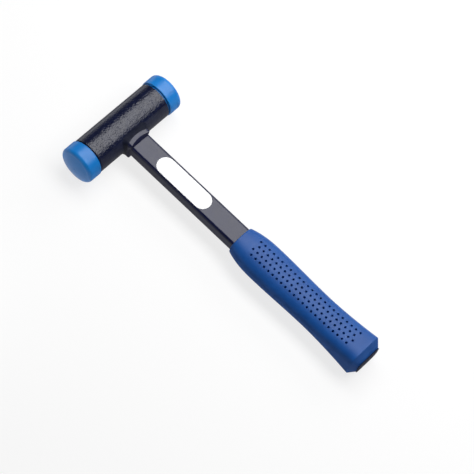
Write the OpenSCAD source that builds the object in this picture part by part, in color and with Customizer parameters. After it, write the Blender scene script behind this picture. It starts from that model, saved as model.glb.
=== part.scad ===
// Soft face hammer with a steel tube head, loose shot inside and a flattened tube handle.
// Millimetres, +Z up. The hammer lies on its side: head along X, handle running towards -Y.

/* [Head tube] */
// outside diameter of the head tube
tube_od = 30; // [26:0.5:36]
// wall thickness of the head tube
tube_wall = 2.5; // [2:0.1:3.5]
// length of the head tube
tube_len = 72.4; // [66:0.2:90]
// bevel on both rims of the head tube
tube_chamfer = 0.6; // [0.3:0.1:1]

/* [Faces] */
// how far a striking face stands out beyond the tube all round
face_proud = 0.6; // [0.2:0.1:3]
// width of the groove between face and tube
face_gap = 1; // [0.5:0.1:2]
// depth of that groove below the tube
groove_depth = 1; // [0.5:0.1:1.5]
// length of the straight side of a face
face_side = 9.1; // [6:0.1:14]
// radius of the edge round a face
face_edge_r = 3.1; // [2:0.1:5]
// bevel on the back rim of a face
face_back_bevel = 0.5; // [0.2:0.1:1]
// rise of the dome above its crease
dome_rise = 1.9; // [1:0.1:4]
// length of the spigot in the tube
spigot_len = 13; // [10:0.5:16]
// number of gripping ribs on the spigot
spigot_ribs = 3; // [2:1:4]
// height of a rib above the spigot
rib_height = 0.6; // [0.3:0.1:1]
// plain length of the spigot ahead of its ribs and behind them
spigot_plain = 1; // [0.5:0.1:2]

/* [Shot] */
// thickness of the disc that closes the shot chamber
disc_t = 1.5; // [1:0.1:3]
// diameter of a shot ball as a share of the bore
ball_share = 0.2; // [0.16:0.01:0.24]
// space between neighbouring balls
ball_gap = 0.15; // [0.1:0.05:0.3]
// layers of balls along the chamber
shot_layers = 7; // [4:1:8]
// least space between the balls and the chamber
shot_clear = 0.35; // [0.3:0.05:0.6]

/* [Socket] */
// width of the handle socket along the head
socket_w = 21.8; // [21:0.2:26]
// thickness of the handle socket
socket_t = 18.6; // [17:0.2:21]
// corner radius of the socket's section
socket_corner = 5.8; // [4:0.2:8]
// reach of the socket below the head tube
socket_reach = 4.2; // [3.8:0.1:10]
// rounding of the socket's lower edges
socket_edge_r = 3.2; // [1:0.1:3.5]
// leg of the weld between socket and head
weld_leg = 2.3; // [1.5:0.1:3]

/* [Handle] */
// width of the handle tube along the head
handle_w = 18.8; // [16:0.1:19.4]
// thickness of the handle tube
handle_t = 11.8; // [10:0.1:12.4]
// corner radius of the handle tube
handle_corner = 2.2; // [1.7:0.1:3]
// wall thickness of the handle tube
handle_wall = 1.5; // [1:0.1:2]
// bare length of the handle between socket and grip
handle_bare = 106.2; // [80:0.2:160]

/* [Grip] */
// length of the grip from its front lip to its end face
grip_len = 131.2; // [125:0.2:150]
// width of the front lip
lip_w = 23.6; // [22:0.2:26]
// thickness of the front lip
lip_t = 16.6; // [16:0.2:19]
// width of the swell behind the lip
swell_w = 31.6; // [28:0.2:34]
// thickness of the swell
swell_t = 19; // [17:0.2:22]
// width of the waist
waist_w = 29.4; // [27:0.2:32]
// thickness of the waist
waist_t = 18.8; // [17:0.2:22]
// width of the butt
butt_w = 31.4; // [30:0.2:36]
// thickness of the butt
butt_t = 28; // [24:0.2:29]
// distance from the lip to the widest part of the swell
swell_at = 27; // [20:1:35]
// distance from the lip to the waist
waist_at = 79; // [60:1:90]
// length of the bevel round the butt
butt_bevel = 5.1; // [3:0.1:6]
// width of the end face behind that bevel
butt_end_w = 22.6; // [21:0.2:26]
// thickness of that end face
butt_end_t = 13.6; // [13:0.2:20]
// squareness of the grip's section, 2 is an ellipse
grip_power = 2.6; // [2.2:0.1:3.5]
// squareness of the butt
butt_power = 4; // [2.6:0.1:5]
// diameter of a dimple at the surface
dimple_d = 1.8; // [1:0.1:2]
// depth of a dimple
dimple_depth = 2.2; // [0.8:0.1:2.2]
// distance between dimples
dimple_pitch = 4.4; // [4.2:0.05:4.7]
// dimples in a long column
dimple_rows = 24; // [18:1:24]
// distance from the lip to the first dimple
dimple_start = 13.8; // [12:0.2:16]

/* [End plug] */
// how far the plug's flange stands out beyond the grip's end face
plug_proud = 0.5; // [0:0.1:1]
// length of the flange along the handle
plug_flange = 1; // [0.8:0.1:3]
// corner radius of the flange
plug_corner = 5; // [3:0.5:6]
// length of the plug's stem in the handle tube
plug_stem = 16; // [10:1:30]
// distance from the end of the handle tube to the end of the grip
tube_setback = 6; // [4:0.5:10]

/* [Hidden] */
$fn = 96;
over = 0.5;
tube_r = tube_od / 2;
bore_r = tube_r - tube_wall;
tube_end = tube_len / 2;
face_r = tube_r + face_proud;
neck_r = tube_r - groove_depth;
shoulder = tube_end + face_gap;
side_end = shoulder + face_side;
crease = side_end + face_edge_r;
crease_r = face_r - face_edge_r;
dome_r = (crease_r * crease_r + dome_rise * dome_rise) / (2 * dome_rise);
apex = crease + dome_rise;
spigot_end = tube_end - spigot_len;
core_r = bore_r - rib_height;
rib_pitch = (spigot_len - 2 * spigot_plain) / spigot_ribs;

// chamber and ball lattice
chamber_end = spigot_end - disc_t;
ball_r = bore_r * ball_share;
ball_step = 2 * ball_r + ball_gap;
layer_step = ball_step * sqrt(2 / 3);
row_step = ball_step * sqrt(3) / 2;
ball_limit = bore_r - ball_r - shot_clear;
shot_first = chamber_end - shot_clear - ball_r;

// stations along the handle, measured from the head axis
socket_end = tube_r + socket_reach;
lip_y = socket_end + handle_bare;
grip_end = lip_y + grip_len;
rim_y = grip_end - butt_bevel;
tube_stop = grip_end - tube_setback;
bore_w = handle_w - 2 * handle_wall;
bore_t = handle_t - 2 * handle_wall;
bore_corner = handle_corner - handle_wall;
plug_w = butt_end_w + 2 * plug_proud;
plug_t = butt_end_t + 2 * plug_proud;
length_below = grip_end + plug_flange;

// origin at the bottom centre of the part's box
lift = max(face_r, butt_t / 2);
shift = (length_below - face_r) / 2;

// grip loft: each section holds its distance from the lip, half width, half thickness and
// squareness
lip_steps = 10;
waist_steps = 6;
butt_steps = 9;
section_points = 40;
rim_round = 0.6;
rim_at = rim_y - lip_y;
function mix(a, b, f) = a + (b - a) * f;
function swell_ease(t) = 1 - pow(1 - t, 2.5);
function waist_ease(t) = (1 - cos(180 * t)) / 2;
function butt_ease(t) = pow(t, 1.7);
function along(d, lip, swell, waist, butt) =
    d < swell_at ? mix(lip, swell, swell_ease(d / swell_at))
    : d < waist_at ? mix(swell, waist, waist_ease((d - swell_at) / (waist_at - swell_at)))
    : mix(waist, butt, butt_ease((d - waist_at) / (rim_at - waist_at)));
function half_w(d) = along(d, lip_w, swell_w, waist_w, butt_w) / 2;
function half_t(d) = along(d, lip_t, swell_t, waist_t, butt_t) / 2;
function power(d) = along(d, grip_power, grip_power, grip_power, butt_power);
stations = concat(
    [for (i = [0:lip_steps]) mix(rim_round, swell_at, pow(i / lip_steps, 2))],
    [for (i = [1:waist_steps]) mix(swell_at, waist_at, i / waist_steps)],
    [for (i = [1:butt_steps]) mix(waist_at, rim_at, i / butt_steps)]);
sections = concat(
    [[0, lip_w / 2 - rim_round, lip_t / 2 - rim_round / 2, grip_power]],
    [for (d = stations) [d, half_w(d), half_t(d), power(d)]],
    [[grip_len, butt_end_w / 2, butt_end_t / 2, butt_power]]);
section_last = len(sections) - 1;

// points round a section, and the height of the grip's top across it
function power_cos(a, n) = sign(cos(a)) * pow(abs(cos(a)), 2 / n);
function power_sin(a, n) = sign(sin(a)) * pow(abs(sin(a)), 2 / n);
function grip_top(d, x) = half_t(d) * pow(1 - pow(abs(x) / half_w(d), power(d)), 1 / power(d));
grip_points = [for (s = sections) each
    [for (i = [0:section_points - 1]) let (a = i * 360 / section_points)
        [s[1] * power_cos(a, s[3]), -lip_y - s[0], s[2] * power_sin(a, s[3])]]];
grip_faces = concat(
    [[for (i = [0:section_points - 1]) i]],
    [[for (i = [section_points - 1:-1:0]) section_last * section_points + i]],
    [for (s = [0:section_last - 1], i = [0:section_points - 1]) let (
        j = (i + 1) % section_points,
        a = s * section_points)
        each [[a + j, a + i, a + section_points + i],
              [a + j, a + section_points + i, a + section_points + j]]]);

// weld bead: four points per step round the socket, each set by its distance out from the
// socket's side and down from the head tube
weld_turns = 64;
weld_bulge = 0.56;
function outline(a, grow) = [
    sign(cos(a)) * (socket_w / 2 - socket_corner) + (socket_corner + grow) * cos(a),
    sign(sin(a)) * (socket_t / 2 - socket_corner) + (socket_corner + grow) * sin(a)];
function head_drop(z) = sqrt(tube_r * tube_r - z * z);
function weld_point(a, grow, drop) = let (p = outline(a, grow))
    [p[0], -head_drop(p[1]) - drop, p[1]];
function weld_ring(a) = [
    weld_point(a, -over, weld_leg + over),
    weld_point(a, weld_leg * weld_bulge, weld_leg * weld_bulge),
    weld_point(a, weld_leg + over, -over),
    weld_point(a, -over, -over)];
weld_points = [for (i = [0:weld_turns - 1]) each weld_ring((i + 0.5) * 360 / weld_turns)];
weld_faces = [for (i = [0:weld_turns - 1], j = [0:3]) let (
    k = (i + 1) % weld_turns,
    m = (j + 1) % 4)
    each [[4 * i + j, 4 * k + j, 4 * k + m], [4 * i + j, 4 * k + m, 4 * i + m]]];

steel_black = [0.07, 0.08, 0.11];
face_blue = [0.16, 0.45, 0.75];
grip_blue = [0.15, 0.28, 0.58];
steel_bare = [0.62, 0.63, 0.65];
plug_black = [0.05, 0.06, 0.09];

// puts a child drawn about the head axis and handle axis into the part's frame
module placed() {
    translate([0, shift, lift]) children();
}

// turns a profile about the head axis, side 1 is the rear and -1 the front
module about_head(side) {
    rotate([0, 90 * side, 0]) rotate_extrude() children();
}

// runs an outline down the handle from one distance below the head axis to another
module down_handle(from, to) {
    translate([0, -from, 0]) rotate([90, 0, 0]) linear_extrude(to - from) children();
}

module round_rect(w, t, r) {
    square([w - 2 * r, t], center = true);
    square([w, t - 2 * r], center = true);
    for (x = [-1, 1], y = [-1, 1]) {
        translate([x * (w / 2 - r), y * (t / 2 - r)]) circle(r);
    }
}

module head_cylinder() {
    rotate([0, 90, 0]) cylinder(r = tube_r, h = tube_len, center = true);
}

module head_tube() {
    color(steel_black) placed() about_head(1) polygon([
        [bore_r + tube_chamfer / 2, -tube_end],
        [tube_r - tube_chamfer, -tube_end],
        [tube_r, -tube_end + tube_chamfer],
        [tube_r, tube_end - tube_chamfer],
        [tube_r - tube_chamfer, tube_end],
        [bore_r + tube_chamfer / 2, tube_end],
        [bore_r, tube_end - tube_chamfer / 2],
        [bore_r, -tube_end + tube_chamfer / 2]]);
}

// one rib: ramp from the spigot's core up to a land that grips the bore
function rib(i) = let (start = spigot_end + spigot_plain + i * rib_pitch) [
    [core_r, start],
    [bore_r, start + rib_pitch * 0.5],
    [bore_r, start + rib_pitch * 0.75],
    [core_r, start + rib_pitch * 0.8]];

module spigot_profile() {
    polygon(concat(
        [[0, spigot_end], [core_r - rib_height, spigot_end]],
        [for (i = [0:spigot_ribs - 1]) each rib(i)],
        [[core_r, tube_end], [neck_r, tube_end], [neck_r, shoulder + over], [0, shoulder + over]]));
}

module face_profile() {
    spigot_profile();
    polygon([
        [0, shoulder],
        [face_r - face_back_bevel, shoulder],
        [face_r, shoulder + face_back_bevel],
        [face_r, side_end],
        [0, side_end]]);
    translate([0, side_end - over]) square([crease_r, face_edge_r + over]);
    translate([crease_r, side_end]) circle(face_edge_r);
    intersection() {
        translate([0, apex - dome_r]) circle(dome_r);
        translate([0, side_end]) square([crease_r, apex]);
    }
}

module front_face() {
    color(face_blue) placed() about_head(-1) face_profile();
}

module rear_face() {
    color(face_blue) placed() about_head(1) face_profile();
}

module shot_disc(side) {
    about_head(side) translate([0, chamber_end]) square([bore_r, disc_t]);
}

module front_shot_disc() {
    color(steel_bare) placed() shot_disc(-1);
}

module rear_shot_disc() {
    color(steel_bare) placed() shot_disc(1);
}

// balls packed in layers across the bore, every second layer in the hollows of the first
module shot_charge() {
    color(steel_bare) placed()
    for (layer = [0:shot_layers - 1], row = [-4:4], col = [-5:5]) {
        y = (col + row / 2 + (layer % 2) / 2) * ball_step;
        z = (row + (layer % 2) / 3) * row_step;
        if (y * y + z * z < ball_limit * ball_limit) {
            translate([shot_first - layer * layer_step, y, z]) sphere(ball_r);
        }
    }
}

// socket seen square on: straight sides from the head axis down to a rounded lower end
module socket_view(width) {
    side = width / 2 - socket_edge_r;
    mirror([0, 1]) {
        translate([-width / 2, 0]) square([width, socket_end - socket_edge_r]);
        translate([-side, 0]) square([2 * side, socket_end]);
        for (x = [-side, side]) {
            translate([x, socket_end - socket_edge_r]) circle(socket_edge_r);
        }
    }
}

// socket's outer body: what its section and its two views have in common, so the rounded end
// runs out to nothing at the corners
module socket_block() {
    intersection() {
        down_handle(0, socket_end) round_rect(socket_w, socket_t, socket_corner);
        linear_extrude(socket_t + 2 * over, center = true) socket_view(socket_w);
        rotate([0, 90, 0]) linear_extrude(socket_w + 2 * over, center = true) socket_view(socket_t);
    }
}

module handle_socket() {
    color(steel_black) placed() difference() {
        socket_block();
        head_cylinder();
        down_handle(0, socket_end + over) round_rect(handle_w, handle_t, handle_corner);
    }
}

module socket_weld() {
    color(steel_black) placed() difference() {
        polyhedron(weld_points, weld_faces);
        socket_block();
        head_cylinder();
    }
}

module handle_tube() {
    color(steel_black) placed() difference() {
        down_handle(0, tube_stop) round_rect(handle_w, handle_t, handle_corner);
        down_handle(-over, tube_stop + over) round_rect(bore_w, bore_t, bore_corner);
        head_cylinder();
    }
}

// tapered dimples in staggered columns, the same on both broad sides
module dimples() {
    for (side = [0, 180], col = [0:3], row = [0:dimple_rows - 1]) {
        x = (col - 1.5) * dimple_pitch;
        d = dimple_start + (row + (col % 2 == 0 ? 0.5 : 0)) * dimple_pitch;
        if (col % 2 == 1 || row < dimple_rows - 1) {
            rotate([0, side, 0]) translate([x, -lip_y - d, grip_top(d, x) - dimple_depth])
                cylinder(d1 = dimple_d * 0.7, d2 = dimple_d, h = dimple_depth + over, $fn = 24);
        }
    }
}

module grip() {
    color(grip_blue) placed() difference() {
        polyhedron(grip_points, grip_faces);
        down_handle(lip_y - over, grip_end + over) round_rect(handle_w, handle_t, handle_corner);
        dimples();
    }
}

module end_plug() {
    color(plug_black) placed() {
        down_handle(grip_end, length_below) round_rect(plug_w, plug_t, plug_corner);
        down_handle(tube_stop, grip_end + plug_flange / 2) round_rect(handle_w, handle_t, handle_corner);
        down_handle(tube_stop - plug_stem, tube_stop + over) round_rect(bore_w, bore_t, bore_corner);
    }
}

head_tube();
front_face();
rear_face();
front_shot_disc();
rear_shot_disc();
shot_charge();
handle_socket();
socket_weld();
handle_tube();
grip();
end_plug();
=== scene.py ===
"""Looks of the soft face hammer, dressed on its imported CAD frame. Metres, +Z up, head along X."""
import math

import bmesh
import bpy
from mathutils import Euler, Matrix, Vector


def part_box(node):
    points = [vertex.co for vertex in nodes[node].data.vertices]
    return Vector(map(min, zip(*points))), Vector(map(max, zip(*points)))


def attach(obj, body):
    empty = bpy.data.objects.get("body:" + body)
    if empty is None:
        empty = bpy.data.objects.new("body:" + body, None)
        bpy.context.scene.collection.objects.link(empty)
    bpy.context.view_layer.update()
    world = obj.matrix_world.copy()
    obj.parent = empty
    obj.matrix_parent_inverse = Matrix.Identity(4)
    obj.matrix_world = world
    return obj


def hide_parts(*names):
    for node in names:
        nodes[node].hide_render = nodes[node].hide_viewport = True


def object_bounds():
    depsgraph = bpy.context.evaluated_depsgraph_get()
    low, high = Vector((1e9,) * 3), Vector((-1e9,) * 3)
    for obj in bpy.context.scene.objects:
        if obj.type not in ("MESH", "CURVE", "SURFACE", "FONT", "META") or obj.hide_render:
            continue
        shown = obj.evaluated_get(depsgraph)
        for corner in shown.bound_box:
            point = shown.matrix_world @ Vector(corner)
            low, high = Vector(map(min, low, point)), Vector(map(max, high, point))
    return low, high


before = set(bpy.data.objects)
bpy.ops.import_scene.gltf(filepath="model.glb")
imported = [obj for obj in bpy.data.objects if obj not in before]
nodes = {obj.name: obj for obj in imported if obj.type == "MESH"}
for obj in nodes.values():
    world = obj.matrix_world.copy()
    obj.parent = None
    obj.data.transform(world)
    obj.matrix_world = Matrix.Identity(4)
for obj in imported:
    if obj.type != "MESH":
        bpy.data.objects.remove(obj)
cad_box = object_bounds()
MM = 0.001

# Places taken from the frame
tube_low, tube_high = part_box("head_tube")
grip_low, grip_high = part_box("grip")
handle_low, handle_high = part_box("handle_tube")
head_centre = (tube_low + tube_high) / 2
handle_w = handle_high.x - handle_low.x
handle_t = handle_high.z - handle_low.z
handle_corner = 2.2 * MM
lip_y = grip_high.y
grip_len = grip_high.y - grip_low.y

# Grip: sizes of the CAD grip's loft, from its front lip backwards
LIP = (23.6 * MM, 16.6 * MM)
SWELL = (31.6 * MM, 19.0 * MM)
WAIST = (29.4 * MM, 18.8 * MM)
BUTT = (31.4 * MM, 28.0 * MM)
SWELL_AT = 27 * MM
WAIST_AT = 79 * MM
BUTT_BEVEL = 5.1 * MM
BUTT_END = (22.6 * MM, 13.6 * MM)
RIM_AT = grip_len - BUTT_BEVEL
GRIP_POWER = 2.6
BUTT_POWER = 4.0
LIP_ROUND = 0.6 * MM
LIP_IN = Vector((LIP_ROUND, LIP_ROUND / 2))
BUTT_IN = Vector(((BUTT[0] - BUTT_END[0]) / 2, (BUTT[1] - BUTT_END[1]) / 2))
FULL_SIZE = Vector((0, 0))
BUTT_EDGE = 0.35 * MM
BORE_CLEAR = 0.02 * MM
BORE_EDGE = 0.4 * MM
BORE_SEARCH_STEPS = 40

# Grip: how its sizes and its grid of sections run along it
LIP_CURVE = 2.5
FLARE_CURVE = 1.7
LIP_BEND = 0.3
FRONT_STEPS = 9
FRONT_CROWDING = 1.4
REAR_STEPS = 7
RIM_BEND = 0.2
BEVEL_SHARES = (0.25, 0.5, 0.75)

# Dimples: a staggered field of four columns on each broad side
PITCH = 4.4 * MM
DIMPLE_START = 13.8 * MM
DIMPLE_ROWS = 24
DIMPLE_COLS = 4
DIMPLE_R = 0.9 * MM
DIMPLE_DEPTH = 2.2 * MM
CELL_STEPS = 4
STEP = PITCH / CELL_STEPS
FIELD_HALF = PITCH * DIMPLE_COLS / 2
FIELD_START = DIMPLE_START - PITCH / 2
FIELD_STEPS = DIMPLE_ROWS * CELL_STEPS
SIDE_STEPS = 24

# Rings of a dimple from its rim down: share of its radius and of its depth
DIMPLE_RINGS = ((1.4, 0.0), (1.12, 0.0), (1.0, 0.06), (0.9, 0.45), (0.8, 0.85), (0.45, 1.0))

# Label: blank pill on the visible broad side of the handle
LABEL_FROM = 39.2 * MM
LABEL_TO = 92.1 * MM
LABEL_W = 15.0 * MM
LABEL_X = -0.2 * MM
LABEL_T = 0.1 * MM
LABEL_EDGE = 0.05 * MM
LABEL_ARC = 32
LABEL_FLAT = 0.1

# Collar: the socket and the weld round it, whose broad sides end in an arch
COLLAR = (21.8 * MM, 18.6 * MM)
COLLAR_CORNER = 2.4 * MM
COLLAR_ARCH = 9.0 * MM
COLLAR_EDGE = (16.9 * MM, 18.6 * MM, 15.8 * MM)
COLLAR_END = (19.2 * MM, 19.2 * MM, 16.8 * MM)
WELD_OUT = 2.3 * MM
WELD_DOWN = (1.9 * MM, 3.5 * MM, 1.4 * MM)
WELD_HOLLOW = 0.65
COLLAR_SUNK = 0.5 * MM
COLLAR_BEND = 1.25
COLLAR_SHARES = (0, 0.05, 0.1, 0.2, 0.4, 0.6, 0.8, 1)
WELD_STEPS = 6

# End plug: flange with a low dome, shoulder in the grip's bore and stem in the handle tube
PLUG = (23.6 * MM, 14.6 * MM, 5.0 * MM)
PLUG_SHOULDER = (18.8 * MM, 11.8 * MM, 2.2 * MM)
PLUG_STEM = (15.8 * MM, 8.8 * MM, 0.7 * MM)
PLUG_FLANGE = 1.0 * MM
PLUG_EDGE = 0.35 * MM
PLUG_SHOULDER_LEN = 6.0 * MM
DOME_SHARES = (0.03, 0.15, 0.3, 0.45, 0.6, 0.75, 0.9)

# Loops of the collar and the plug: steps in each corner and side, and what counts as a side
LOOP_STEPS = 12
SHORTEST_SIDE = 2 * MM
SHARP_ANGLE = math.radians(35)

# Camera: aimed at the handle, at the photograph's angle
CAMERA_AIM = 122.2 * MM
CAMERA_DISTANCE = 1754.2 * MM
CAMERA_TURN = (24.995, -8.607, -46.147)
CAMERA_LENS = 178.4


def mix(a, b, t):
    return a + (b - a) * t


def smooth(t):
    return (1 - math.cos(math.pi * t)) / 2


# Grip form

def along(d, lip, swell, waist, butt):
    """A size of the grip at distance d from its lip."""
    if d < SWELL_AT:
        return mix(lip, swell, 1 - (1 - d / SWELL_AT) ** LIP_CURVE)
    if d < WAIST_AT:
        return mix(swell, waist, smooth((d - SWELL_AT) / (WAIST_AT - SWELL_AT)))
    flare = min(1.0, (d - WAIST_AT) / (RIM_AT - WAIST_AT))
    return mix(waist, butt, flare ** FLARE_CURVE)


class Section:
    """The squared ellipse of the grip at distance d, drawn in by inset across and up."""

    def __init__(self, d, inset=FULL_SIZE):
        self.d = d
        self.a = along(d, LIP[0], SWELL[0], WAIST[0], BUTT[0]) / 2 - inset.x
        self.b = along(d, LIP[1], SWELL[1], WAIST[1], BUTT[1]) / 2 - inset.y
        self.n = along(d, GRIP_POWER, GRIP_POWER, GRIP_POWER, BUTT_POWER)

    def top(self, x):
        return self.b * (1 - (abs(x) / self.a) ** self.n) ** (1 / self.n)

    def place(self, x, z):
        return Vector((x, lip_y - self.d, head_centre.z + z))

    def side_points(self):
        """Points down the +X side, between the field's upper and lower edge."""
        edge = math.acos((FIELD_HALF / self.a) ** (self.n / 2))
        for k in range(1, SIDE_STEPS):
            t = mix(edge, -edge, k / SIDE_STEPS)
            x = self.a * abs(math.cos(t)) ** (2 / self.n)
            z = self.b * math.copysign(abs(math.sin(t)) ** (2 / self.n), t)
            yield x, z

    def loop(self):
        """All points once round: top field, +X side, lower field, -X side."""
        xs = [mix(-FIELD_HALF, FIELD_HALF, k / (DIMPLE_COLS * CELL_STEPS))
              for k in range(DIMPLE_COLS * CELL_STEPS + 1)]
        side = list(self.side_points())
        points = [(x, self.top(x)) for x in xs] + side
        points += [(-x, -self.top(x)) for x in xs] + [(-x, -z) for x, z in side]
        return points


def bore_reach(c, s):
    """Distance from the handle's axis to the rim of the grip's bore, in direction (c, s)."""
    half_w = handle_w / 2 + BORE_CLEAR - handle_corner
    half_t = handle_t / 2 + BORE_CLEAR - handle_corner
    low, high = 0.0, handle_w
    for _ in range(BORE_SEARCH_STEPS):
        r = (low + high) / 2
        qx, qz = max(abs(r * c) - half_w, 0), max(abs(r * s) - half_t, 0)
        if math.hypot(qx, qz) > handle_corner:
            high = r
        else:
            low = r
    return low


def bore_loop(outer):
    """The bore's points, each on the ray of an outer point."""
    points = []
    for x, z in outer:
        length = math.hypot(x, z)
        reach = bore_reach(x / length, z / length)
        points.append((x / length * reach, z / length * reach))
    return points


def grip_stations():
    """Distances from the lip, each with how far the section is drawn in."""
    front = [(0, LIP_IN), (LIP_ROUND * LIP_BEND, LIP_IN * LIP_BEND), (LIP_ROUND, FULL_SIZE)]
    for k in range(1, FRONT_STEPS):
        share = (k / FRONT_STEPS) ** FRONT_CROWDING
        front.append((mix(LIP_ROUND, FIELD_START, share), FULL_SIZE))
    field = [(FIELD_START + k * STEP, FULL_SIZE) for k in range(FIELD_STEPS + 1)]
    field_end = field[-1][0]
    rear = [(mix(field_end, RIM_AT, k / REAR_STEPS), FULL_SIZE) for k in range(1, REAR_STEPS)]
    edge = BUTT_EDGE / BUTT_BEVEL
    rear += [(RIM_AT - BUTT_EDGE, FULL_SIZE), (RIM_AT, BUTT_IN * edge * RIM_BEND)]
    shares = (edge, *BEVEL_SHARES, 1 - edge, 1)
    bevel = [(RIM_AT + BUTT_BEVEL * share, BUTT_IN * share) for share in shares]
    return front + field + rear + bevel, len(front)


def dimple_places():
    """Column and first grid step of each dimple's cell on one broad side."""
    for col in range(DIMPLE_COLS):
        short = col % 2 == 0
        for row in range(DIMPLE_ROWS - short):
            yield col, row * CELL_STEPS + (CELL_STEPS // 2 if short else 0)


def cell_rim():
    """Grid offsets once round a cell, starting at the middle of its +X side."""
    n = CELL_STEPS
    ring = [(n, i) for i in range(n)] + [(n - i, n) for i in range(n)]
    ring += [(0, n - i) for i in range(n)] + [(i, 0) for i in range(n)]
    start = n // 2
    return ring[start:] + ring[:start]


def add_dimple(bm, rim, x, d, side):
    """Fills a cell of the grip's grid with a round dimple."""
    count = len(rim)
    last = rim
    for size, depth in DIMPLE_RINGS:
        ring = []
        for k in range(count):
            a = 2 * math.pi * k / count
            px = x + math.cos(a) * DIMPLE_R * size
            section = Section(d + math.sin(a) * DIMPLE_R * size)
            z = section.top(px) - depth * DIMPLE_DEPTH
            ring.append(bm.verts.new(section.place(side * px, side * z)))
        for k in range(count):
            bm.faces.new((last[k - 1], last[k], ring[k], ring[k - 1]))
        last = ring
    section = Section(d)
    middle = bm.verts.new(section.place(side * x, side * (section.top(x) - DIMPLE_DEPTH)))
    for k in range(count):
        bm.faces.new((last[k - 1], last[k], middle))


def bridge(bm, a, b):
    for k in range(len(a)):
        bm.faces.new((a[k - 1], a[k], b[k], b[k - 1]))


def make_grip():
    """One closed skin: loft with its dimples, bevelled butt and the bore for the handle."""
    bm = bmesh.new()
    stations, field_row = grip_stations()
    loops = []
    for d, inset in stations:
        section = Section(d, inset)
        points = section.loop()
        loops.append([bm.verts.new(section.place(x, z)) for x, z in points])
    per_loop = len(loops[0])
    width = DIMPLE_COLS * CELL_STEPS
    lower = width + SIDE_STEPS
    taken = set()
    for side, first in ((1, 0), (-1, lower)):
        for col, step in dimple_places():
            i0 = field_row + step
            j0 = first + col * CELL_STEPS
            taken |= {(i0 + i, j0 + j) for i in range(CELL_STEPS) for j in range(CELL_STEPS)}
            rim = [loops[i0 + i][j0 + j] for j, i in cell_rim()]
            x = -FIELD_HALF + (col + 0.5) * PITCH
            add_dimple(bm, rim, x, FIELD_START + (step + CELL_STEPS / 2) * STEP, side)
    for i in range(len(loops) - 1):
        for j in range(per_loop):
            if (i, j) not in taken:
                k = (j + 1) % per_loop
                bm.faces.new((loops[i][j], loops[i][k], loops[i + 1][k], loops[i + 1][j]))
    inner = []
    for d, like in ((0, 0), (BORE_EDGE, 0), (grip_len - BORE_EDGE, -1), (grip_len, -1)):
        section = Section(d)
        outer = Section(*stations[like]).loop()
        inner.append([bm.verts.new(section.place(x, z)) for x, z in bore_loop(outer)])
    bridge(bm, loops[0], inner[0])
    for a, b in zip(inner, inner[1:]):
        bridge(bm, a, b)
    bridge(bm, inner[-1], loops[-1])
    bmesh.ops.recalc_face_normals(bm, faces=bm.faces)
    piece = add_mesh("grip_skin", bm)
    smoothing = piece.modifiers.new("smooth_form", "SUBSURF")
    smoothing.levels = smoothing.render_levels = 1
    return piece


# Collar and plug forms

def rounded_loop(width, thick, corner, grow=0.0):
    """Points once round a rounded rectangle, as x and height; grow moves them outwards."""
    points = []
    for k in range(4):
        side_x, side_z = ((1, 1), (-1, 1), (-1, -1), (1, -1))[k]
        middle = Vector((side_x * (width / 2 - corner), side_z * (thick / 2 - corner)))
        for i in range(LOOP_STEPS + 1):
            a = math.pi / 2 * (k + i / LOOP_STEPS)
            points.append(middle + Vector((math.cos(a), math.sin(a))) * (corner + grow))
    full = []
    for a, b in zip(points, points[1:] + points[:1]):
        straight = (b - a).length > SHORTEST_SIDE
        full += [a.lerp(b, i / LOOP_STEPS) for i in range(LOOP_STEPS)] if straight else [a]
    return full


def arched(p, middle, end, side):
    """A depth that runs from the middle of a broad side to its ends and to the narrow sides."""
    across = min(1, abs(p.x) / COLLAR_ARCH) ** 2
    up = min(1, abs(p.y) / (COLLAR[1] / 2)) ** 2
    return mix(side, mix(middle, end, across), up)


def head_skin(p, sunk=0.0):
    """Depth below the head's axis at which a line along the handle leaves the head."""
    return math.sqrt(((tube_high.z - tube_low.z) / 2 - sunk) ** 2 - p.y ** 2)


def below_head(p, depth):
    """The point of a loop at that depth below the head's axis, along the handle."""
    return Vector((p.x, head_centre.y - depth, head_centre.z + p.y))


def ring_mesh(name, rings, capped=False):
    """A skin over rings of points, closed by two caps or from the last ring to the first."""
    bm = bmesh.new()
    loops = [[bm.verts.new(place) for place in ring] for ring in rings]
    for a, b in zip(loops, loops[1:]):
        bridge(bm, a, b)
    if capped:
        bm.faces.new(loops[0])
        bm.faces.new(loops[-1])
    else:
        bridge(bm, loops[-1], loops[0])
    bmesh.ops.recalc_face_normals(bm, faces=bm.faces)
    piece = add_mesh(name, bm)
    piece.data.set_sharp_from_angle(angle=SHARP_ANGLE)
    return piece


def make_socket():
    """Sleeve round the handle, whose end rounds down to it along an arch."""
    outer = rounded_loop(*COLLAR, COLLAR_CORNER)
    bore = rounded_loop(handle_w, handle_t, handle_corner, BORE_CLEAR)
    rings = [[below_head(p, head_skin(p, COLLAR_SUNK)) for p in outer]]
    for t in COLLAR_SHARES:
        ring = []
        for p, q in zip(outer, bore):
            depth = mix(arched(p, *COLLAR_EDGE), arched(p, *COLLAR_END), t)
            ring.append(below_head(p.lerp(q, t ** COLLAR_BEND), depth))
        rings.append(ring)
    rings.append([below_head(q, head_skin(q, COLLAR_SUNK)) for q in bore])
    return ring_mesh("socket_skin", rings)


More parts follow.
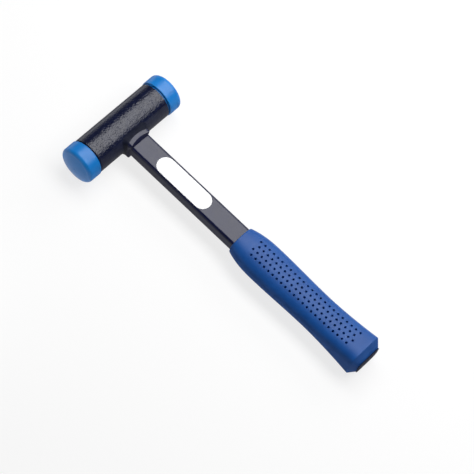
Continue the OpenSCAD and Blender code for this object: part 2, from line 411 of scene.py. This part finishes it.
def make_weld():
    """Hollow fillet between the head and the socket."""
    outer = rounded_loop(*COLLAR, COLLAR_CORNER)
    foot = rounded_loop(*COLLAR, COLLAR_CORNER, WELD_OUT)
    root = rounded_loop(*COLLAR, COLLAR_CORNER, -COLLAR_SUNK)
    rings = []
    for k in range(WELD_STEPS + 1):
        t = k / WELD_STEPS
        ring = []
        for p, f in zip(outer, foot):
            a = below_head(f, head_skin(f))
            b = below_head(p, head_skin(p) + arched(p, *WELD_DOWN))
            hollow = a.lerp(b, 0.5).lerp(below_head(p, head_skin(p)), WELD_HOLLOW)
            ring.append(a.lerp(hollow, t).lerp(hollow.lerp(b, t), t))
        rings.append(ring)
    rings.append([below_head(p, head_skin(p, COLLAR_SUNK)) for p in root])
    rings.append([below_head(f, head_skin(f, COLLAR_SUNK)) for f in foot])
    return ring_mesh("weld_skin", rings)


def make_plug():
    """The plug that closes the butt, pushed in from behind."""
    low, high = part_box("end_plug")
    end = head_centre.y - low.y
    front = head_centre.y - high.y
    grip_end = end - PLUG_FLANGE
    stop = grip_end - PLUG_SHOULDER_LEN
    flange, shoulder, stem = (rounded_loop(*size) for size in (PLUG, PLUG_SHOULDER, PLUG_STEM))
    brim = grip_end + PLUG_EDGE
    steps = [(stem, front), (stem, stop), (shoulder, stop), (shoulder, grip_end),
             (flange, grip_end), (flange, brim)]
    for t in DOME_SHARES:
        rise = 1 - (1 - t) ** 2
        steps.append(([p * (1 - t) for p in flange], mix(brim, end, rise)))
    rings = [[below_head(p, depth) for p in loop] for loop, depth in steps]
    return ring_mesh("plug_skin", rings, capped=True)


# Label form

def handle_top(x):
    """Height of the handle's broad side, which falls away at its rounded corners."""
    past = max(0, abs(x) - (handle_w / 2 - handle_corner))
    return handle_high.z - handle_corner + math.sqrt(handle_corner ** 2 - past ** 2)


def make_label():
    """A thin pill with a bevelled edge that lies down on the handle's corners."""
    half = LABEL_W / 2
    centres = (head_centre.y - LABEL_FROM - half, head_centre.y - LABEL_TO + half)

    def loop(bm, inset, height):
        verts = []
        for end, y in enumerate(centres):
            for k in range(LABEL_ARC + 1):
                a = math.pi * (end + k / LABEL_ARC)
                x = LABEL_X + (half - inset) * math.cos(a)
                place = (x, y + (half - inset) * math.sin(a), handle_top(x) + height)
                verts.append(bm.verts.new(place))
        return verts

    bm = bmesh.new()
    rims = ((0, 0), (0, LABEL_T - LABEL_EDGE), (LABEL_EDGE, LABEL_T), (half * LABEL_FLAT, LABEL_T))
    loops = [loop(bm, inset, height) for inset, height in rims]
    for a, b in zip(loops, loops[1:]):
        bridge(bm, a, b)
    bm.faces.new(loops[-1])
    bm.faces.new(loops[0])
    bmesh.ops.recalc_face_normals(bm, faces=bm.faces)
    return add_mesh("blank_label", bm)


def add_mesh(name, bm):
    mesh = bpy.data.meshes.new(name)
    bm.to_mesh(mesh)
    bm.free()
    for face in mesh.polygons:
        face.use_smooth = True
    piece = bpy.data.objects.new(name, mesh)
    bpy.context.scene.collection.objects.link(piece)
    return piece


# Materials

# Share of an axis in a surface's normal at which a finish is dulled in full, and not at all:
# for sides, of the upward axis, and for the flanks of the faces, of the handle's axis
DULL_SIDES = (0.55, 0.80)
DULL_FLANKS = (0.85, 0.60)

# Values of the noise between which colour and roughness change
COLOUR_REACH = (0.35, 0.65)
ROUGH_REACH = (0.3, 0.7)
NOISE_ROUGHNESS = 0.55


class Finish:
    """A principled material whose colour, roughness and relief come from noise."""

    def __init__(self, name):
        self.material = bpy.data.materials.new(name)
        self.material.use_nodes = True
        self.tree = self.material.node_tree
        self.shader = self.tree.nodes["Principled BSDF"]
        place = self.node("ShaderNodeTexCoord")
        self.coords = place.outputs["Object"]
        self.normal = place.outputs["Normal"]

    def node(self, kind):
        return self.tree.nodes.new(kind)

    def link(self, a, b):
        self.tree.links.new(a, b)

    def set(self, **values):
        for name, value in values.items():
            self.shader.inputs[name.replace("_", " ")].default_value = value
        return self

    def noise(self, grain, detail=3.0):
        """Noise whose grain is about that size, in metres."""
        texture = self.node("ShaderNodeTexNoise")
        texture.inputs["Scale"].default_value = 1 / grain
        texture.inputs["Detail"].default_value = detail
        texture.inputs["Roughness"].default_value = NOISE_ROUGHNESS
        self.link(self.coords, texture.inputs["Vector"])
        return texture.outputs["Fac"]

    def colour(self, value, low, high):
        """Base colour that runs from low to high with the noise."""
        ramp = self.node("ShaderNodeValToRGB")
        for element, place, colour in zip(ramp.color_ramp.elements, COLOUR_REACH, (low, high)):
            element.position = place
            element.color = (*colour, 1)
        self.link(value, ramp.inputs["Fac"])
        self.link(ramp.outputs["Color"], self.shader.inputs["Base Color"])

    def span(self, value, begin, end, low, high):
        """A number from low to high as value goes from begin to end."""
        span = self.node("ShaderNodeMapRange")
        names = ("From Min", "From Max", "To Min", "To Max")
        for name, number in zip(names, (begin, end, low, high)):
            span.inputs[name].default_value = number
        self.link(value, span.inputs["Value"])
        return span.outputs["Result"]

    def compute(self, operation, *values):
        step = self.node("ShaderNodeMath")
        step.operation = operation
        for value, socket in zip(values, step.inputs):
            self.link(value, socket)
        return step.outputs[0]

    def rough(self, value, low, high, sides=None, axis="Z", reach=DULL_SIDES):
        """Roughness from noise, raised to sides where the piece's surface turns as reach says."""
        result = self.span(value, *ROUGH_REACH, low, high)
        if sides is not None:
            parts = self.node("ShaderNodeSeparateXYZ")
            self.link(self.normal, parts.inputs["Vector"])
            turned = self.compute("ABSOLUTE", parts.outputs[axis])
            dull = self.span(turned, *reach, sides, 0.0)
            result = self.compute("MAXIMUM", result, dull)
        self.link(result, self.shader.inputs["Roughness"])

    def relief(self, value, height, strength=1.0, before=None):
        """Bump of that height, in metres, on top of an earlier one."""
        bump = self.node("ShaderNodeBump")
        bump.inputs["Distance"].default_value = height
        bump.inputs["Strength"].default_value = strength
        self.link(value, bump.inputs["Height"])
        if before is not None:
            self.link(before, bump.inputs["Normal"])
        self.link(bump.outputs["Normal"], self.shader.inputs["Normal"])
        return bump.outputs["Normal"]


def textured_paint():
    """Black paint of the head, with an orange-peel grain."""
    finish = Finish("textured_black_paint")
    fine = finish.relief(finish.noise(0.5 * MM, 2.0), 0.02 * MM, 0.5)
    finish.relief(finish.noise(1.25 * MM, 1.0), 0.30 * MM, 1.0, fine)
    finish.colour(finish.noise(6 * MM), (0.003, 0.005, 0.022), (0.005, 0.008, 0.030))
    finish.rough(finish.noise(3 * MM), 0.14, 0.22, 0.65)
    return finish.set(Specular_IOR_Level=0.35).material


def smooth_paint():
    """The same black on the handle and the socket, thinner and smoother."""
    finish = Finish("smooth_black_paint")
    finish.colour(finish.noise(8 * MM), (0.003, 0.005, 0.030), (0.005, 0.007, 0.038))
    finish.rough(finish.noise(4 * MM), 0.20, 0.26, 0.60)
    finish.relief(finish.noise(0.5 * MM, 2.0), 0.03 * MM, 0.4)
    return finish.set(Specular_IOR_Level=0.32).material


def weld_paint():
    """Painted weld bead: rippled and dull."""
    finish = Finish("rippled_weld_paint")
    finish.colour(finish.noise(4 * MM), (0.004, 0.006, 0.016), (0.008, 0.010, 0.024))
    finish.rough(finish.noise(1 * MM), 0.50, 0.65)
    finish.relief(finish.noise(1.6 * MM, 1.0), 0.30 * MM, 0.8)
    return finish.set(Specular_IOR_Level=0.10).material


def face_plastic():
    """Satin blue plastic of the faces, with faint flow marks."""
    finish = Finish("face_blue_plastic")
    finish.colour(finish.noise(9 * MM), (0.001, 0.155, 0.490), (0.002, 0.175, 0.530))
    finish.rough(finish.noise(2 * MM), 0.33, 0.42, 0.65, "Y", DULL_FLANKS)
    finish.relief(finish.noise(0.4 * MM, 2.0), 0.02 * MM, 0.35)
    return finish.set(Specular_IOR_Level=0.38).material


def grip_plastic():
    """Dark blue soft plastic with a fine leathery grain."""
    finish = Finish("grip_blue_plastic")
    finish.colour(finish.noise(12 * MM), (0.005, 0.062, 0.260), (0.007, 0.072, 0.290))
    finish.rough(finish.noise(2.5 * MM), 0.38, 0.48, 0.75)
    finish.relief(finish.noise(0.35 * MM, 2.0), 0.03 * MM, 0.4)
    return finish.set(Specular_IOR_Level=0.27).material


def plug_plastic():
    """Dark matte plastic of the end plug."""
    finish = Finish("plug_dark_plastic")
    finish.colour(finish.noise(5 * MM), (0.002, 0.006, 0.028), (0.003, 0.008, 0.036))
    finish.rough(finish.noise(2 * MM), 0.55, 0.65)
    finish.relief(finish.noise(0.4 * MM, 2.0), 0.02 * MM, 0.35)
    return finish.set(Specular_IOR_Level=0.05).material


def bare_steel():
    """Ground steel of the shot and its discs."""
    finish = Finish("bare_steel")
    finish.colour(finish.noise(3 * MM), (0.50, 0.50, 0.51), (0.60, 0.60, 0.61))
    finish.rough(finish.noise(1 * MM), 0.25, 0.35)
    finish.relief(finish.noise(0.3 * MM, 2.0), 0.01 * MM, 0.3)
    return finish.set(Metallic=1.0).material


def label_film():
    """Blank white film of the label."""
    finish = Finish("white_label_film")
    finish.colour(finish.noise(7 * MM), (0.86, 0.87, 0.88), (0.92, 0.92, 0.92))
    finish.rough(finish.noise(3 * MM), 0.30, 0.38)
    finish.relief(finish.noise(1 * MM, 2.0), 0.01 * MM, 0.2)
    return finish.material


def paint(piece, material):
    piece.data.materials.clear()
    piece.data.materials.append(material)


# Pieces and finishes

grip = make_grip()
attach(grip, "hammer")
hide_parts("grip")
paint(grip, grip_plastic())

label = make_label()
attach(label, "hammer")
paint(label, label_film())

head_paint = textured_paint()
handle_paint = smooth_paint()
bead_paint = weld_paint()
plug_dark = plug_plastic()
for piece, node, slot, material in (
        (make_socket(), "handle_socket", "black_paint", handle_paint),
        (make_weld(), "socket_weld", "black_paint", bead_paint),
        (make_plug(), "end_plug", "plug_plastic", plug_dark)):
    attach(piece, "hammer")
    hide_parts(node)
    paint(piece, material)

face_blue = face_plastic()
steel = bare_steel()
for name, material in (
        ("head_tube", head_paint), ("handle_socket", handle_paint), ("socket_weld", bead_paint),
        ("handle_tube", handle_paint), ("front_face", face_blue), ("rear_face", face_blue),
        ("front_shot_disc", steel), ("rear_shot_disc", steel), ("shot_charge", steel),
        ("end_plug", plug_dark), ("grip", grip.data.materials[0])):
    paint(nodes[name], material)


# Stage

FLOOR_HALF = 60.0
FLOOR_GLOW = 0.78
FLOOR_ALBEDO = 0.85
WORLD_LEVEL = 0.10

# Lamps: place, the point each one faces, size and power
LAMPS = {
    "softbox": (Vector((0.31, 0.00, 0.71)), Vector((0.31, 0.00, 0)), (0.37, 1.20), 9.1),
    "side_panel": (Vector((0.78, 0.06, 0.50)), Vector((0, 0.06, 0.25)), (0.87, 0.31), 2.7),
    "left_card": (Vector((-0.22, 0.15, 0.08)), Vector((-0.05, 0.12, 0.015)), (0.12, 0.12), 0.05),
}


def make_floor():
    """A pale floor, leaning just enough for head and butt both to rest on it."""
    rim = Vector((0, lip_y - RIM_AT, grip_low.z))
    head_foot = Vector((0, head_centre.y, cad_box[0].z))
    mesh = bpy.data.meshes.new("floor")
    corners = [(-1, -1), (1, -1), (1, 1), (-1, 1)]
    mesh.from_pydata([(FLOOR_HALF * x, FLOOR_HALF * y, 0) for x, y in corners], [], [(0, 1, 2, 3)])
    floor = bpy.data.objects.new("floor", mesh)
    floor.location = head_foot
    floor.rotation_euler.x = math.atan2(rim.z - head_foot.z, rim.y - head_foot.y) - math.pi
    bpy.context.scene.collection.objects.link(floor)
    material = bpy.data.materials.new("pale_floor")
    material.use_nodes = True
    tree = material.node_tree
    tree.nodes.clear()
    output = tree.nodes.new("ShaderNodeOutputMaterial")
    blend = tree.nodes.new("ShaderNodeMixShader")
    matte = tree.nodes.new("ShaderNodeBsdfDiffuse")
    matte.inputs["Color"].default_value = (FLOOR_ALBEDO, FLOOR_ALBEDO, FLOOR_ALBEDO, 1)
    glow = tree.nodes.new("ShaderNodeEmission")
    path = tree.nodes.new("ShaderNodeLightPath")
    either = path.outputs["Is Camera Ray"]
    for ray in ("Is Glossy Ray", "Is Transmission Ray"):
        larger = tree.nodes.new("ShaderNodeMath")
        larger.operation = "MAXIMUM"
        tree.links.new(either, larger.inputs[0])
        tree.links.new(path.outputs[ray], larger.inputs[1])
        either = larger.outputs[0]
    share = tree.nodes.new("ShaderNodeMath")
    share.operation = "MULTIPLY"
    share.inputs[1].default_value = FLOOR_GLOW
    tree.links.new(either, share.inputs[0])
    tree.links.new(share.outputs[0], blend.inputs["Fac"])
    tree.links.new(matte.outputs["BSDF"], blend.inputs[1])
    tree.links.new(glow.outputs["Emission"], blend.inputs[2])
    tree.links.new(blend.outputs["Shader"], output.inputs["Surface"])
    mesh.materials.append(material)


def make_lights():
    for name, (place, target, size, power) in LAMPS.items():
        lamp = bpy.data.lights.new(name, "AREA")
        lamp.shape = "RECTANGLE"
        lamp.size, lamp.size_y = size
        lamp.energy = power
        panel = bpy.data.objects.new(name, lamp)
        panel.location = place
        panel.rotation_euler = (target - place).to_track_quat("-Z", "Y").to_euler()
        bpy.context.scene.collection.objects.link(panel)
    world = bpy.data.worlds.new("studio")
    world.use_nodes = True
    world.node_tree.nodes["Background"].inputs["Color"].default_value = (1, 1, 1, 1)
    world.node_tree.nodes["Background"].inputs["Strength"].default_value = WORLD_LEVEL
    bpy.context.scene.world = world


def make_camera():
    data = bpy.data.cameras.new("camera")
    data.lens = CAMERA_LENS
    camera = bpy.data.objects.new("camera", data)
    turn = Euler([math.radians(a) for a in CAMERA_TURN])
    back = turn.to_matrix() @ Vector((0, 0, 1))
    aim = head_centre - Vector((0, CAMERA_AIM, 0))
    place = Matrix.Translation(aim + back * CAMERA_DISTANCE)
    camera.matrix_world = place @ turn.to_matrix().to_4x4()
    bpy.context.scene.collection.objects.link(camera)
    bpy.context.scene.camera = camera


make_floor()
make_lights()
make_camera()
bpy.context.scene.view_settings.view_transform = "Standard"
